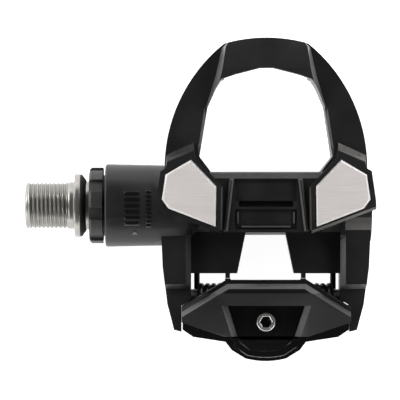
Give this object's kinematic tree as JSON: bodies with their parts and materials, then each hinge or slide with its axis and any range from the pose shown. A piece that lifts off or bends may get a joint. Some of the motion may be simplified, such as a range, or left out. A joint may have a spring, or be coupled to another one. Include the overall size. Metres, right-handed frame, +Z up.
{
  "type": "clipless bicycle pedal",
  "caption": "Single-sided clipless road pedal with an open front arch, steel platform plates, a sprung rear clip and a sealed spindle.",
  "frame": {"origin": "on the spindle axis, at the spindle's shoulder that bears on the crank", "axes": "+X along the spindle away from the crank, +Y to the front of the pedal, +Z up, out of the cleat side"},
  "size_m": [0.1062, 0.0976, 0.0322],
  "materials": {
    "body_plastic": "moulded glass-filled black, satin",
    "clip_plastic": "moulded glass-filled black, satin to gloss",
    "plate_steel": "brushed stainless, bright bevelled rim",
    "spindle_steel": "turned and plated steel",
    "ring_plastic": "dark grey, satin",
    "seal_rubber": "matt black rubber",
    "bearing_steel": "ground and polished",
    "bushing_bronze": "sintered bronze",
    "spring_steel": "black phosphated spring wire",
    "screw_steel": "plated steel",
    "zinc_steel": "zinc-plated steel"
  },
  "bodies": {
    "spindle": {"spindle": "spindle_steel", "spindle_dust_seal": "seal_rubber", "ball_bearing_inner_ring": "bearing_steel", "spindle_end_washer": "zinc_steel", "spindle_end_nut": "zinc_steel"},
    "pedal_body": {"pedal_body": "body_plastic", "bearing_lockring": "ring_plastic", "inboard_lip_seal": "seal_rubber", "needle_bearing_sleeve": "bearing_steel", "ball_bearing_outer_ring": "bearing_steel", "bearing_circlip": "spring_steel", "end_cap": "body_plastic", "end_cap_o_ring": "seal_rubber", "platform_plate_inboard": "plate_steel", "platform_plate_outboard": "plate_steel", "plate_screws": "screw_steel", "clip_pivot_pin": "zinc_steel", "torsion_spring_inboard": "spring_steel", "torsion_spring_outboard": "spring_steel"},
    "needle_set": {"needle_rollers": "bearing_steel", "needle_cage": "zinc_steel"},
    "ball_set": {"bearing_balls": "bearing_steel", "ball_cage": "zinc_steel"},
    "rear_clip": {"rear_clip": "clip_plastic", "clip_bushings": "bushing_bronze"},
    "tension_screw": {"tension_screw": "screw_steel"},
    "tension_nut_plate": {"tension_nut_plate": "zinc_steel"}
  },
  "joints": [
    {"name": "body_spin", "type": "hinge", "parent": "spindle", "child": "pedal_body", "pos_m": [0.058, 0, 0], "axis": [1, 0, 0], "continuous": true},
    {"name": "needle_set_spin", "type": "hinge", "parent": "spindle", "child": "needle_set", "pos_m": [0.0235, 0, 0], "axis": [1, 0, 0], "continuous": true},
    {"name": "ball_set_spin", "type": "hinge", "parent": "spindle", "child": "ball_set", "pos_m": [0.0795, 0, 0], "axis": [1, 0, 0], "continuous": true},
    {"name": "clip_open", "type": "hinge", "parent": "pedal_body", "child": "rear_clip", "pos_m": [0.058, -0.0275, -0.0015], "axis": [1, 0, 0], "range_deg": [0, 16], "stiffness_Nm_per_rad": 4, "springref_deg": -11.46, "deforming": ["torsion_spring_inboard", "torsion_spring_outboard"]},
    {"name": "tension_screw_turn", "type": "hinge", "parent": "rear_clip", "child": "tension_screw", "pos_m": [0.058, -0.0351, 0], "axis": [0, 0, 1], "range_deg": [-900, 0]},
    {"name": "nut_plate_travel", "type": "slide", "parent": "rear_clip", "child": "tension_nut_plate", "axis": [0, 0, 1], "range_m": [0, 0.00175]}
  ],
  "couplings": [
    {"joint": "needle_set_spin", "follows": "body_spin", "ratio": 0.57143},
    {"joint": "ball_set_spin", "follows": "body_spin", "ratio": 0.58333},
    {"joint": "tension_screw_turn", "follows": "nut_plate_travel", "rad_per_m": -8976}
  ]
}
